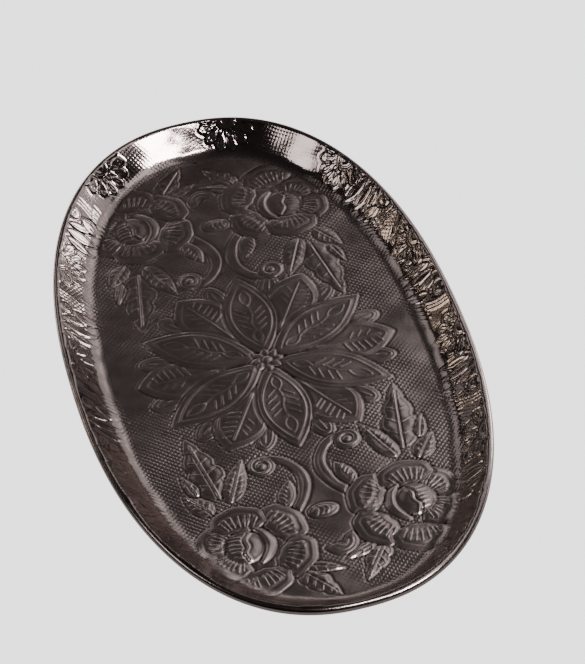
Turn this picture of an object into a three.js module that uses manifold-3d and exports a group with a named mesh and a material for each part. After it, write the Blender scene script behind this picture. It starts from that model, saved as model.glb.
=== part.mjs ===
import * as THREE from "three";
import Module from "manifold-3d";

// Oval serving tray: one sheet of metal, pressed with a floral ornament, with a flared wall
// and an edge rolled over a stiffening wire. Millimetres, +Z up. The origin lies under the
// middle of the base, on the plane that the tray stands on, and the length runs along Y.

// Overall form
const OVERALL_LENGTH = 430;
const OVERALL_WIDTH = 230;
const OVAL_POWER = 2.28;
const SHEET = 0.8;
const FLARE_RUN = 23.3;
const COVE_RADIUS = 14;
const WALL_ANGLE = THREE.MathUtils.degToRad(43);

// Wired edge
const WIRE_DIAMETER = 2.8;
const WIRE_CLEARANCE = 0.3;
const WIRE_BUTT_GAP = 1;
const CURL_MOUTH = 0.5;

// Faces along the curves
const RIM_STEPS = 68;
const COVE_STEPS = 3;
const CURL_STEPS = 8;
const WIRE_SIDES = 8;
const RIDGE_STEPS = 12;
const LEAF_STEPS = 5;
const ROUND_STEPS = 9;
const SEPAL_STEPS = 6;

// Ornament as a whole
const ORNAMENT_MARGIN = 1;
const SKIRT_SHARE = 0.5;
const CREST_SHARE = 0.72;
const PULL_IN_STEP = 0.04;

// Heights within a form, as shares of its own height
const PETAL_MIDDLE = 0.6;
const LOBE_MIDDLE = 0.7;
const LEAF_CREST = 0.7;
const ROUND_CREST = 0.8;

// Rosette in the middle of the base
const ROSETTE_MARGIN = 13;
const ROSETTE_PETALS = 6;
const FRONT_PETAL_ROOT = 9;
const BACK_PETAL_ROOT = 30;
const PETAL_HALF_WIDTH = 15;
const PETAL_SWELL_POWER = 1.15;
const FRONT_PETAL_HEIGHT = 1.1;
const BACK_PETAL_HEIGHT = 0.9;
const SEPAL_INSET = 14;
const SEPAL_HALF_LENGTH = 10;
const SEPAL_HALF_WIDTH = 5.5;
const SEPAL_HEIGHT = 0.6;
const HEART_RADIUS = 7;
const HEART_HEIGHT = 1.4;

// Four roses, one in each quarter, each with lobes round its bud
const ROSE_SIDE_INSET = 38.7;
const ROSE_END_INSET = 50.8;
const LOBES = [
  { degrees: -92, orbit: 20 },
  { degrees: -31, orbit: 19 },
  { degrees: 45, orbit: 14 },
  { degrees: 99, orbit: 27 },
  { degrees: 150, orbit: 28 },
  { degrees: -154, orbit: 27 },
];
const LOBE_HALF_WIDTH = 14;
const LOBE_HALF_DEPTH = 10.5;
const LOBE_HEIGHT = 1.2;
const BUD_RADIUS = 11;
const BUD_HEIGHT = 1.9;
const FOLD_OFFSET = new THREE.Vector2(-11.5, 0);
const FOLD_HALF_WIDTH = 5;
const FOLD_HALF_LENGTH = 12.5;
const FOLD_HEIGHT = 1.6;

// Leaves of a spray: root and tip, measured from the middle of its rose
const LEAVES = [
  { root: [4.6, -40], tip: [13, -93], halfWidth: 10.5, height: 1.1 },
  { root: [-0.5, -35], tip: [-14.5, -67], halfWidth: 6.5, height: 1 },
  { root: [10.5, -30], tip: [23.5, -48], halfWidth: 6, height: 1 },
  { root: [-24.5, 26], tip: [-41.5, 49], halfWidth: 6.8, height: 0.9 },
];

// Scroll beside a spray: its course, measured from the middle of its rose
const SCROLL_COURSE = [
  [-36, -14], [-43, -27], [-46, -40], [-44, -52], [-38, -62], [-29, -66],
  [-21, -62], [-19, -55], [-24, -50], [-29, -53],
];
const SCROLL_HALF_WIDTH = 3.4;
const SCROLL_END_HALF_WIDTH = 1.6;
const SCROLL_HEIGHT = 1;

// Two curls on the centre line at each end, measured from the end of the base
const BEAN_END_INSET = 63;
const BEAN_HALF_WIDTH = 8;
const BEAN_HALF_DEPTH = 5.5;
const BEAN_HEIGHT = 1.1;
const CURL_END_INSET = 36;
const CURL_RADIUS = 6;
const CURL_HALF_WIDTH = 2.4;
const CURL_HEIGHT = 1;
const CURL_TURN = THREE.MathUtils.degToRad(250);
const CURL_SPANS = 6;

// Values worked out from the sizes above
const CURL_INNER_RADIUS = WIRE_DIAMETER / 2 + WIRE_CLEARANCE;
const CURL_OUTER_RADIUS = CURL_INNER_RADIUS + SHEET;
const RIM_HALF_LENGTH = OVERALL_LENGTH / 2 - CURL_OUTER_RADIUS;
const RIM_HALF_WIDTH = OVERALL_WIDTH / 2 - CURL_OUTER_RADIUS;
const BASE_HALF_LENGTH = RIM_HALF_LENGTH - FLARE_RUN;
const BASE_HALF_WIDTH = RIM_HALF_WIDTH - FLARE_RUN;
const COVE_RUN = COVE_RADIUS * Math.sin(WALL_ANGLE);
const COVE_RISE = COVE_RADIUS * (1 - Math.cos(WALL_ANGLE));
const WALL_RUN = FLARE_RUN - COVE_RUN - CURL_OUTER_RADIUS * Math.sin(WALL_ANGLE);
const WALL_TOP = SHEET + COVE_RISE + WALL_RUN * Math.tan(WALL_ANGLE);
const WIRE_HEIGHT = WALL_TOP - CURL_OUTER_RADIUS * Math.cos(WALL_ANGLE);
const ROSETTE_RADIUS = BASE_HALF_WIDTH - ROSETTE_MARGIN;
const ROSE_X = BASE_HALF_WIDTH - ROSE_SIDE_INSET;
const ROSE_Y = BASE_HALF_LENGTH - ROSE_END_INSET;

const wasm = await Module();
wasm.setup();

// The rim's centre line, a superellipse, with the way that faces out at each point
class RimOval extends THREE.Curve {
  getPoint(share, target = new THREE.Vector3()) {
    const turn = share * 2 * Math.PI;
    const round = (value) => Math.sign(value) * Math.abs(value) ** (2 / OVAL_POWER);
    return target.set(RIM_HALF_WIDTH * round(Math.cos(turn)), RIM_HALF_LENGTH * round(Math.sin(turn)), 0);
  }

  outward(point) {
    const slope = (value, half) => (Math.sign(value) * Math.abs(value / half) ** (OVAL_POWER - 1)) / half;
    return new THREE.Vector3(slope(point.x, RIM_HALF_WIDTH), slope(point.y, RIM_HALF_LENGTH), 0).normalize();
  }
}

// The edge of the flat base, less the margin that the ornament keeps from it
const BASE_EDGE = rimRing(-FLARE_RUN - ORNAMENT_MARGIN, 0);
const BASE_MIDDLE = new THREE.Vector3();

// A closed body through rings of equal length, with a fan over its first and last ring
function loft(rings, firstTip, lastTip) {
  const count = rings[0].length;
  const points = rings.flat();
  points.push(firstTip ?? centreOf(rings[0]), lastTip ?? centreOf(rings.at(-1)));
  const firstIndex = points.length - 2;
  const lastIndex = points.length - 1;
  const lastRing = (rings.length - 1) * count;
  const faces = [];
  for (let side = 0; side < count; side += 1) {
    const next = (side + 1) % count;
    for (let ring = 0; ring < lastRing; ring += count) {
      faces.push([ring + side, ring + next, ring + count + next]);
      faces.push([ring + side, ring + count + next, ring + count + side]);
    }
    faces.push([firstIndex, next, side]);
    faces.push([lastIndex, lastRing + side, lastRing + next]);
  }
  const volume = faces.reduce((sum, [a, b, c]) => {
    return sum + points[a].dot(points[b].clone().cross(points[c]));
  }, 0);
  const outward = volume > 0 ? faces : faces.map(([a, b, c]) => [a, c, b]);
  const geometry = new THREE.BufferGeometry();
  geometry.setFromPoints(points);
  geometry.setIndex(outward.flat());
  return geometry;
}

function centreOf(points) {
  const sum = points.reduce((total, point) => total.add(point), new THREE.Vector3());
  return sum.divideScalar(points.length);
}

function toSolid(geometry) {
  const vertProperties = new Float32Array(geometry.attributes.position.array);
  const triVerts = new Uint32Array(geometry.index.array);
  return new wasm.Manifold(new wasm.Mesh({ numProp: 3, vertProperties, triVerts }));
}

function toGeometry(solid) {
  const { vertProperties, triVerts } = solid.getMesh();
  const geometry = new THREE.BufferGeometry();
  geometry.setAttribute("position", new THREE.BufferAttribute(vertProperties, 3));
  geometry.setIndex(new THREE.BufferAttribute(triVerts, 1));
  geometry.computeVertexNormals();
  return geometry;
}

// A ring of the rim's oval, moved out by some distance and set at some height
function rimRing(away, height) {
  const oval = new RimOval();
  return oval.getSpacedPoints(RIM_STEPS).slice(0, RIM_STEPS).map((point) => {
    return point.clone().addScaledVector(oval.outward(point), away).setZ(height);
  });
}

// One face of the sheet from the base's edge to the end of the curl, as rings.
// The top face has a depth of 0 and the underside a depth of one sheet.
function sheetFace(depth) {
  const rings = [rimRing(-FLARE_RUN, SHEET - depth)];
  for (let step = 1; step <= COVE_STEPS; step += 1) {
    const angle = (step / COVE_STEPS) * WALL_ANGLE;
    const radius = COVE_RADIUS + depth;
    const height = SHEET + COVE_RADIUS - radius * Math.cos(angle);
    rings.push(rimRing(-FLARE_RUN + radius * Math.sin(angle), height));
  }
  const radius = CURL_OUTER_RADIUS - depth;
  const sweep = 2 * Math.PI - Math.acos((CURL_INNER_RADIUS - CURL_MOUTH) / CURL_OUTER_RADIUS);
  for (let step = 0; step <= CURL_STEPS; step += 1) {
    const angle = Math.PI / 2 + WALL_ANGLE - (step / CURL_STEPS) * sweep;
    rings.push(rimRing(radius * Math.cos(angle), WIRE_HEIGHT + radius * Math.sin(angle)));
  }
  return rings;
}

// Whether a point lies on the flat of the base, inside the ornament's margin
function isOnBase(place) {
  return BASE_EDGE.every((corner, index) => {
    const edge = BASE_EDGE[(index + 1) % BASE_EDGE.length].clone().sub(corner);
    const reach = place.clone().sub(corner);
    return edge.x * reach.y - edge.y * reach.x >= 0;
  });
}

// Draws a point of the ornament towards a place on the base until it lies on the base too
function keepOnBase(point, place) {
  const kept = point.clone();
  while (!isOnBase(kept)) {
    kept.lerp(place, PULL_IN_STEP);
  }
  return kept;
}

// A raised form on the base: an outline that rises to a crest ring and ends at its middle.
// Its skirt goes down into the sheet.
function pillow(outline, height, middle) {
  const centre = keepOnBase(centreOf(outline), BASE_MIDDLE);
  const edge = outline.map((point) => keepOnBase(point, centre));
  const lift = (share, rise) => edge.map((point) => point.clone().lerp(centre, 1 - share).setZ(SHEET + rise));
  const rings = [lift(1, -SHEET * SKIRT_SHARE), lift(1, 0), lift(CREST_SHARE, height)];
  return loft(rings, undefined, centre.clone().setZ(SHEET + middle));
}

// A raised line on the base, along a course, whose half width is given along it.
// It falls to the sheet within one step at each end.
function ridge(course, halfWidthAt, height) {
  const curve = new THREE.CatmullRomCurve3(course);
  const rings = [];
  for (let step = 0; step <= RIDGE_STEPS; step += 1) {
    const share = step / RIDGE_STEPS;
    const point = curve.getPointAt(share);
    const along = curve.getTangentAt(share);
    const aside = new THREE.Vector3(-along.y, along.x, 0).multiplyScalar(halfWidthAt(share));
    const crest = height * Math.min(1, step, RIDGE_STEPS - step);
    const at = (side, rise) => point.clone().addScaledVector(aside, side).setZ(SHEET + rise);
    const skirt = -SHEET * SKIRT_SHARE;
    rings.push([at(-1, skirt), at(1, skirt), at(1, 0), at(0, crest), at(-1, 0)]);
  }
  return loft(rings);
}

function ellipseOutline(centre, halfWidth, halfDepth, turn, count) {
  const curve = new THREE.EllipseCurve(centre.x, centre.y, halfWidth, halfDepth, 0, 2 * Math.PI, false, turn);
  return curve.getSpacedPoints(count).slice(0, count).map((point) => new THREE.Vector3(point.x, point.y, 0));
}

// A pointed outline from a root to a tip, widest somewhat past the middle
function leafOutline(root, tip, halfWidth) {
  const along = new THREE.Vector3().subVectors(tip, root);
  const aside = new THREE.Vector3(-along.y, along.x, 0).setLength(halfWidth);
  const side = (sign) => {
    return Array.from({ length: LEAF_STEPS - 1 }, (_, index) => {
      const share = (index + 1) / LEAF_STEPS;
      const swell = Math.sin(Math.PI * share ** PETAL_SWELL_POWER);
      return root.clone().addScaledVector(along, share).addScaledVector(aside, sign * swell);
    });
  };
  return [root.clone(), ...side(-1), tip.clone(), ...side(1).reverse()];
}

function polar(radius, angle) {
  return new THREE.Vector3(radius * Math.cos(angle), radius * Math.sin(angle), 0);
}

function rosetteForms() {
  const forms = [];
  const pitch = Math.PI / ROSETTE_PETALS;
  for (let index = 0; index < 2 * ROSETTE_PETALS; index += 1) {
    const angle = index * pitch;
    const height = index % 2 === 1 ? FRONT_PETAL_HEIGHT : BACK_PETAL_HEIGHT;
    const root = polar(index % 2 === 1 ? FRONT_PETAL_ROOT : BACK_PETAL_ROOT, angle);
    const tip = polar(ROSETTE_RADIUS, angle);
    forms.push(pillow(leafOutline(root, tip, PETAL_HALF_WIDTH), height, height * PETAL_MIDDLE));
    const sepal = polar(ROSETTE_RADIUS - SEPAL_INSET, angle + pitch / 2);
    const outline = ellipseOutline(sepal, SEPAL_HALF_LENGTH, SEPAL_HALF_WIDTH, angle + pitch / 2, SEPAL_STEPS);
    forms.push(pillow(outline, SEPAL_HEIGHT, SEPAL_HEIGHT));
  }
  const heart = ellipseOutline(new THREE.Vector3(), HEART_RADIUS, HEART_RADIUS, 0, ROUND_STEPS);
  forms.push(pillow(heart, HEART_HEIGHT * ROUND_CREST, HEART_HEIGHT));
  return forms;
}

// One quarter's rose, leaves and scroll, mirrored into its quarter by two signs
function sprayForms(signX, signY) {
  const place = ([x, y]) => new THREE.Vector3(signX * (ROSE_X + x), signY * (ROSE_Y + y), 0);
  const mirrored = (outline) => outline.map((point) => point.clone().multiply(new THREE.Vector3(signX, signY, 1)));
  const forms = [];
  const rose = new THREE.Vector3(ROSE_X, ROSE_Y, 0);
  for (const { degrees, orbit } of LOBES) {
    const angle = THREE.MathUtils.degToRad(degrees);
    const centre = polar(orbit, angle).add(rose);
    const outline = ellipseOutline(centre, LOBE_HALF_DEPTH, LOBE_HALF_WIDTH, angle, ROUND_STEPS);
    forms.push(pillow(mirrored(outline), LOBE_HEIGHT, LOBE_HEIGHT * LOBE_MIDDLE));
  }
  const fold = rose.clone().add(new THREE.Vector3(FOLD_OFFSET.x, FOLD_OFFSET.y, 0));
  const foldOutline = ellipseOutline(fold, FOLD_HALF_WIDTH, FOLD_HALF_LENGTH, 0, ROUND_STEPS);
  forms.push(pillow(mirrored(foldOutline), FOLD_HEIGHT, FOLD_HEIGHT));
  const budOutline = ellipseOutline(rose, BUD_RADIUS, BUD_RADIUS, 0, ROUND_STEPS);
  forms.push(pillow(mirrored(budOutline), BUD_HEIGHT * ROUND_CREST, BUD_HEIGHT));
  for (const { root, tip, halfWidth, height } of LEAVES) {
    forms.push(pillow(leafOutline(place(root), place(tip), halfWidth), height * LEAF_CREST, height));
  }
  const taper = (share) => THREE.MathUtils.lerp(SCROLL_END_HALF_WIDTH, SCROLL_HALF_WIDTH, Math.sin(Math.PI * share));
  forms.push(ridge(SCROLL_COURSE.map(place), taper, SCROLL_HEIGHT));
  return forms;
}

function endForms(sign) {
  const bean = new THREE.Vector3(0, sign * (BASE_HALF_LENGTH - BEAN_END_INSET), 0);
  const beanOutline = ellipseOutline(bean, BEAN_HALF_WIDTH, BEAN_HALF_DEPTH, 0, ROUND_STEPS);
  const curl = new THREE.Vector3(0, sign * (BASE_HALF_LENGTH - CURL_END_INSET), 0);
  const course = Array.from({ length: CURL_SPANS + 1 }, (_, index) => {
    return polar(CURL_RADIUS, sign * (index / CURL_SPANS) * CURL_TURN).add(curl);
  });
  return [
    pillow(beanOutline, BEAN_HEIGHT * ROUND_CREST, BEAN_HEIGHT),
    ridge(course, () => CURL_HALF_WIDTH, CURL_HEIGHT),
  ];
}

// The ornament as one solid, set down by some depth
function ornament(depth) {
  const forms = [...rosetteForms(), ...endForms(1), ...endForms(-1)];
  for (const signX of [1, -1]) {
    for (const signY of [1, -1]) {
      forms.push(...sprayForms(signX, signY));
    }
  }
  const solids = forms.map((form) => toSolid(form.translate(0, 0, -depth)));
  return solids.reduce((sum, solid) => sum.add(solid));
}

function makePan() {
  const rings = [...sheetFace(0), ...sheetFace(SHEET).reverse()];
  const sheet = toSolid(loft(rings));
  const embossed = sheet.add(ornament(0)).subtract(ornament(SHEET));
  const material = new THREE.MeshStandardMaterial({ color: 0x4a4446, roughness: 0.34, metalness: 1 });
  return new THREE.Mesh(toGeometry(embossed), material);
}

// The wire's round section along the rim, open at its butt joint in the middle of one long side
function makeWire() {
  const oval = new RimOval();
  const gap = WIRE_BUTT_GAP / oval.getLength();
  const rings = [];
  for (let step = 0; step <= RIM_STEPS; step += 1) {
    const share = THREE.MathUtils.clamp(step / RIM_STEPS, gap / 2, 1 - gap / 2);
    const point = oval.getPointAt(share);
    const outward = oval.outward(point);
    rings.push(Array.from({ length: WIRE_SIDES }, (_, side) => {
      const angle = (side / WIRE_SIDES) * 2 * Math.PI;
      const away = (WIRE_DIAMETER / 2) * Math.cos(angle);
      const height = WIRE_HEIGHT + (WIRE_DIAMETER / 2) * Math.sin(angle);
      return point.clone().addScaledVector(outward, away).setZ(height);
    }));
  }
  const geometry = loft(rings);
  geometry.computeVertexNormals();
  const material = new THREE.MeshStandardMaterial({ color: 0x8c8c8e, roughness: 0.4, metalness: 1 });
  return new THREE.Mesh(geometry, material);
}

const tray = new THREE.Group();
const pan = makePan();
pan.name = "tray_pan";
const wire = makeWire();
wire.name = "rim_wire";
tray.add(pan, wire);

export default tray;
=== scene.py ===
import math
from typing import NamedTuple

import bpy
import numpy as np
from mathutils import Matrix, Vector


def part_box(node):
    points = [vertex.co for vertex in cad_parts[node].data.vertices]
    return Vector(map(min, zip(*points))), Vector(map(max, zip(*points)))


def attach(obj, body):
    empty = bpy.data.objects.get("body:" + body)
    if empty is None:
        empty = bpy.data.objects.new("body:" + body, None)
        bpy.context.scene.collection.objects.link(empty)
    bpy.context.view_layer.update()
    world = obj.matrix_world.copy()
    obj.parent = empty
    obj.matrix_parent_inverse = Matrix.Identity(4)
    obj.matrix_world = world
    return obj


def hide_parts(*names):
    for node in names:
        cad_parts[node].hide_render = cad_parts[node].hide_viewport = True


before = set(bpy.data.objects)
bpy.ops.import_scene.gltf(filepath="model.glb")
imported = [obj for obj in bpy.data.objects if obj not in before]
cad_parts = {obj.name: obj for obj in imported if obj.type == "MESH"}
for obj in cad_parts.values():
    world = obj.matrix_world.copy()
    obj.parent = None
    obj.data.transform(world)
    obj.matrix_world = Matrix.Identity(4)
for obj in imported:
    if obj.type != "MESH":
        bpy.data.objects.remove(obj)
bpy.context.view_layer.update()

# Lengths are in millimetres, apart from those of the floor, the lights and the camera's reach, which
# are in metres. The floor is at height 0, the tray's length runs along Y and its near end is at -Y.
MM = 0.001

# The sheet and its rolled edge, as in the CAD
SHEET = 0.8
OVAL_POWER = 2.28
FLARE_RUN = 23.3
COVE_RADIUS = 14.0
WALL_ANGLE = math.radians(43)
CURL_INNER_RADIUS = 1.7
CURL_OUTER_RADIUS = CURL_INNER_RADIUS + SHEET
CURL_MOUTH = 0.5
_, pan_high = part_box("tray_pan")
RIM_HALF_WIDTH = pan_high.x / MM - CURL_OUTER_RADIUS
RIM_HALF_LENGTH = pan_high.y / MM - CURL_OUTER_RADIUS
COVE_RUN = COVE_RADIUS * math.sin(WALL_ANGLE)
COVE_RISE = COVE_RADIUS * (1 - math.cos(WALL_ANGLE))
COVE_LENGTH = COVE_RADIUS * WALL_ANGLE
WALL_RUN = FLARE_RUN - COVE_RUN - CURL_OUTER_RADIUS * math.sin(WALL_ANGLE)
WALL_LENGTH = WALL_RUN / math.cos(WALL_ANGLE)
WALL_TOP = SHEET + COVE_RISE + WALL_RUN * math.tan(WALL_ANGLE)
WIRE_HEIGHT = WALL_TOP - CURL_OUTER_RADIUS * math.cos(WALL_ANGLE)
CURL_START = math.pi / 2 + WALL_ANGLE
CURL_SWEEP = 2 * math.pi - math.acos((CURL_INNER_RADIUS - CURL_MOUTH) / CURL_OUTER_RADIUS)
SLANT = COVE_LENGTH + WALL_LENGTH
CREST_SLANT = SLANT + CURL_OUTER_RADIUS * WALL_ANGLE

# Mesh of the pan: steps across and along the underside, how many steps of the top go to each of them,
# and the rings of the wall, the curl and the wall's underside
UNDER_ACROSS = 84
UNDER_ALONG = 178
COARSE = 4
ACROSS_STEPS = UNDER_ACROSS * COARSE
ALONG_STEPS = UNDER_ALONG * COARSE
WALL_RINGS = 50
CURL_RINGS = 18
UNDER_RINGS = 6

# The way up the slope to each ring of the top, and the angles of the curl's rings at the wire
CURL_ANGLES = CURL_START - np.arange(1, CURL_RINGS + 1) / CURL_RINGS * CURL_SWEEP
CURL_SLANTS = SLANT + CURL_OUTER_RADIUS * (CURL_START - CURL_ANGLES)
WALL_SLANTS = np.linspace(0, SLANT, WALL_RINGS + 1)[1:]
RING_SLANTS = np.concatenate([WALL_SLANTS, CURL_SLANTS])

# How a form is pressed: a lip at its edge, a line along the lip, a groove outside it and, where a form
# is rolled, a hollow inside it. The flank of a form that is lifted is wider.
LIP = 0.07
LIP_WIDTH = 0.9
EDGE_LINE = 0.13
EDGE_LINE_SEAT = 0.8
EDGE_LINE_HALF = 0.9
GROOVE = 0.17
GROOVE_SEAT = 0.7
GROOVE_HALF = 1.2
ROLL_SEAT = 4.2
ROLL_HALF = 3.0
COVER_WIDTH = 0.8
LIFT_SPREAD = 5.0

# Half the width of a fine line, and how far the lines of a hatching are shaken out of their even places
LINE_HALF = 0.75
HATCH_SHAKE = 0.25

# How full a pointed outline is at its ends, and the depth and sharpness of saw teeth
LENS_FULLNESS = 0.9
NOTCH_DEPTH = 0.2
NOTCH_SHARPNESS = 6

# Ground of raised dots, and the share of their height on the wall. They are worn in patches, which have
# a reach, a stretch along the tray and a swirl.
DOT_PITCH = 2.3
DOT_RADIUS = 0.78
DOT_HEIGHT = 0.5
DOT_WALL_SHARE = 0.3
DOT_WEAR = 0.58
WEAR_REACH = 19.0
WEAR_STRETCH = (0.7, 0.8)
WEAR_SWIRL = (1.3, 1.1)

# The slope over which the base's ornament gives way to the wall's. At the near end it is longer, and
# the dots on the wall are higher: how much, and where that comes in.
EDGE_BLEND = 5.0
NEAR_BLEND = 12.0
NEAR_DOT_SHARE = 0.6
NEAR_FROM_Y = -95.0
NEAR_TO_Y = -145.0

# The base's relief is worn towards the far end: the share that is gone, and where that comes in
FAR_WEAR = 0.45
FAR_FROM_Y = -90.0
FAR_TO_Y = 110.0

# The border is worn on the left near part of the wall: the share that is gone, and where that comes in
BORDER_WEAR = 0.6
WORN_FROM_Y = 60.0
WORN_TO_Y = 10.0
WORN_WIDTH = 40.0

# Painted shade on the rim's outer face, which comes in between two angles at the wire, and on the worn
# wall
RIM_PAINTED_SHADE = 0.4
RIM_SHADE_FROM = math.radians(45)
RIM_SHADE_TO = math.radians(15)
WALL_PAINTED_SHADE = 0.07

# The slope below the rim's crest over which the relief fades out, and the curl's share of the polish
CREST_FADE = 1.6
CURL_POLISH = 0.5

# How many times the relief is blurred. A hollow is where the wide blur is higher than the fine one. The
# underside follows a blur too, lower by a drop, but never below the floor.
WIDE_BLUR = 8
FINE_BLUR = 2
UNDER_BLUR = 4
UNDER_DROP = 0.1

# Unevenness of the hand-finished sheet: the lengths of its waves, how many there are of each, and the
# height of these together for each millimetre of their length
WAVE_LENGTHS = (61.0, 37.0, 23.0, 15.0)
WAVES_EACH = 3
WAVE_STEEPNESS = 0.006

SEED = 11
rng = np.random.default_rng(SEED)


def bump(t):
    """A smooth hill over -1 to 1."""
    return np.clip(1 - t * t, 0, None) ** 2


def smooth(t):
    """A smooth step over 0 to 1."""
    t = np.clip(t, 0, 1)
    return t * t * (3 - 2 * t)


def ramp(start, end, at):
    """A smooth step from 0 at a start to 1 at an end."""
    return smooth((at - start) / (end - start))


def turns(count):
    """Even turns round a circle."""
    return np.arange(count) * 2 * math.pi / count


def rim_oval(turn):
    """Points of the rim's centre line and the ways that face out of it."""
    across, along = np.cos(turn), np.sin(turn)
    x = RIM_HALF_WIDTH * np.sign(across) * np.abs(across) ** (2 / OVAL_POWER)
    y = RIM_HALF_LENGTH * np.sign(along) * np.abs(along) ** (2 / OVAL_POWER)
    out_x = np.sign(x) * np.abs(x / RIM_HALF_WIDTH) ** (OVAL_POWER - 1) / RIM_HALF_WIDTH
    out_y = np.sign(y) * np.abs(y / RIM_HALF_LENGTH) ** (OVAL_POWER - 1) / RIM_HALF_LENGTH
    size = np.hypot(out_x, out_y)
    return x, y, out_x / size, out_y / size


def base_edge(turn, away=0.0):
    """Points on the edge of the base, moved out by some distance."""
    x, y, out_x, out_y = rim_oval(turn)
    return x + (away - FLARE_RUN) * out_x, y + (away - FLARE_RUN) * out_y


def closed(outline):
    """An outline as a course that ends where it starts."""
    return np.vstack([outline, outline[:1]])


def distance_to(course, x, y):
    """How far points lie from a course."""
    best = np.full(x.shape, np.inf)
    for start, end in zip(course[:-1], course[1:]):
        along = end - start
        size = along @ along
        if size == 0:
            continue
        share = np.clip(((x - start[0]) * along[0] + (y - start[1]) * along[1]) / size, 0, 1)
        gap_x = x - start[0] - share * along[0]
        gap_y = y - start[1] - share * along[1]
        best = np.minimum(best, gap_x * gap_x + gap_y * gap_y)
    return np.sqrt(best)


def depth_in(outline, x, y):
    """How far points lie inside an outline, with less than 0 outside it."""
    course = closed(outline)
    inside = np.zeros(x.shape, bool)
    for start, end in zip(course[:-1], course[1:]):
        rise = end[1] - start[1]
        if rise == 0:
            continue
        crosses = (start[1] > y) != (end[1] > y)
        inside ^= crosses & (x < (end[0] - start[0]) * (y - start[1]) / rise + start[0])
    reach = distance_to(course, x, y)
    return np.where(inside, reach, -reach)


class Form(NamedTuple):
    """How an outline is pressed: the height and the rounded shoulder of its body, the share by which
    its middle dips again, the lift of all of it, the line along its edge, and the hollow of a roll."""

    height: float
    shoulder: float
    dip: float = 0.0
    lift: float = 0.0
    edge: float = EDGE_LINE
    roll: float = 0.0


class Line(NamedTuple):
    """A raised line's height and half its width. A line that is cut has a height below 0."""

    height: float
    half: float = LINE_HALF


class Sheet:
    """The top face laid flat, with the height that is pressed into each of its points."""

    def __init__(self, x, y):
        self.x = x
        self.y = y
        self.height = np.zeros_like(x)

    def near(self, course, reach):
        """The points in the box round a course, with some reach past it."""
        low = course.min(axis=0) - reach
        high = course.max(axis=0) + reach
        in_x = (self.x > low[0]) & (self.x < high[0])
        in_y = (self.y > low[1]) & (self.y < high[1])
        return np.flatnonzero(in_x & in_y)

    def emboss(self, outline, form):
        """Presses a form, which covers what was there before."""
        pick = self.near(outline, GROOVE_SEAT + GROOVE_HALF)
        depth = depth_in(outline, self.x[pick], self.y[pick])
        rise = smooth(depth / form.shoulder)
        fall = form.dip * smooth((depth - form.shoulder) / (2 * form.shoulder))
        body = form.lift + LIP * smooth(depth / LIP_WIDTH) + form.height * (rise - fall)
        body += form.edge * bump((depth - EDGE_LINE_SEAT) / EDGE_LINE_HALF)
        body -= form.roll * bump((depth - ROLL_SEAT) / ROLL_HALF)
        ground = self.height[pick] - GROOVE * bump((depth + GROOVE_SEAT) / GROOVE_HALF)
        cover = smooth(depth / (COVER_WIDTH + LIFT_SPREAD * form.lift) + 0.5)
        self.height[pick] = (1 - cover) * ground + cover * body

    def stroke(self, course, line):
        """Adds a line along a course to what is there."""
        pick = self.near(course, line.half)
        gap = distance_to(course, self.x[pick], self.y[pick])
        self.height[pick] += line.height * bump(gap / line.half)

    def hatch(self, starts, ends, line):
        """Adds straight lines that are a little out of their places."""
        for start, end in zip(starts, ends):
            shake = rng.normal(0, HATCH_SHAKE, 2)
            self.stroke(np.array([start + shake, end + shake]), line)


class Quarter(NamedTuple):
    """The signs of x and y in a quarter of the base, and how far its motifs are moved outwards."""

    sign_x: int
    sign_y: int
    shift_x: float = 0.0
    shift_y: float = 0.0


FIRST_QUARTER = Quarter(1, 1)


class Place:
    """Turns points of a motif into points of the flat sheet, in one of its quarters."""

    def __init__(self, x, y, turn=0.0, quarter=FIRST_QUARTER):
        self.spot = np.array([x + quarter.shift_x, y + quarter.shift_y])
        self.axes = np.array([[math.cos(turn), math.sin(turn)], [-math.sin(turn), math.cos(turn)]])
        self.signs = np.array([quarter.sign_x, quarter.sign_y])

    def __call__(self, points):
        return (np.asarray(points, float) @ self.axes + self.spot) * self.signs


def between(root, tip, quarter=FIRST_QUARTER):
    """A place at a root with its first axis towards a tip, and the distance between them."""
    turn = math.atan2(tip[1] - root[1], tip[0] - root[0])
    return Place(root[0], root[1], turn, quarter), math.dist(root, tip)


def straight(span):
    """A course along the first axis."""
    start, end = span
    return [[start, 0], [end, 0]]


def curve(points, count):
    """A smooth course through points."""
    points = np.asarray(points, float)
    padded = np.vstack([2 * points[0] - points[1], points, 2 * points[-1] - points[-2]])
    share = np.linspace(0, len(points) - 1, count)
    span = np.minimum(share.astype(int), len(points) - 2)
    t = (share - span)[:, None]
    a, b, c, d = (padded[span + step] for step in range(4))
    slope = c - a
    bend = 2 * a - 5 * b + 4 * c - d
    twist = 3 * b - a - 3 * c + d
    return 0.5 * (2 * b + slope * t + bend * t**2 + twist * t**3)


def spiral(radii, span, count=40):
    """A course round the origin, from a first radius and angle to a last one."""
    angle = np.linspace(*span, count)
    reach = np.linspace(*radii, count)
    return np.column_stack([reach * np.cos(angle), reach * np.sin(angle)])


def arc(radius, span, count=40):
    return spiral((radius, radius), span, count)


def lens(length, half_width, power=1.0, notches=0, steps=28):
    """A pointed outline along the first axis, widest past its middle if its power is over 1. It can
    have saw teeth."""
    share = np.linspace(0, 1, steps + 1)
    swell = half_width * np.sin(math.pi * share**power) ** LENS_FULLNESS
    if notches:
        swell *= 1 - NOTCH_DEPTH * np.abs(np.cos(math.pi * share * notches)) ** NOTCH_SHARPNESS
    side = np.column_stack([length * share, swell])
    other = side[::-1][1:-1] * [1, -1]
    return np.vstack([side, other])


def oval(half_depth, half_width, ruffles=0, ruffle=0.0, count=40):
    """An oval outline, whose edge can be ruffled by a share of its size."""
    angle = turns(count)
    reach = 1 + ruffle * np.cos(ruffles * angle)
    return np.column_stack([half_depth * reach * np.cos(angle), half_width * reach * np.sin(angle)])


def disc(radius):
    return oval(radius, radius)


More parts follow.
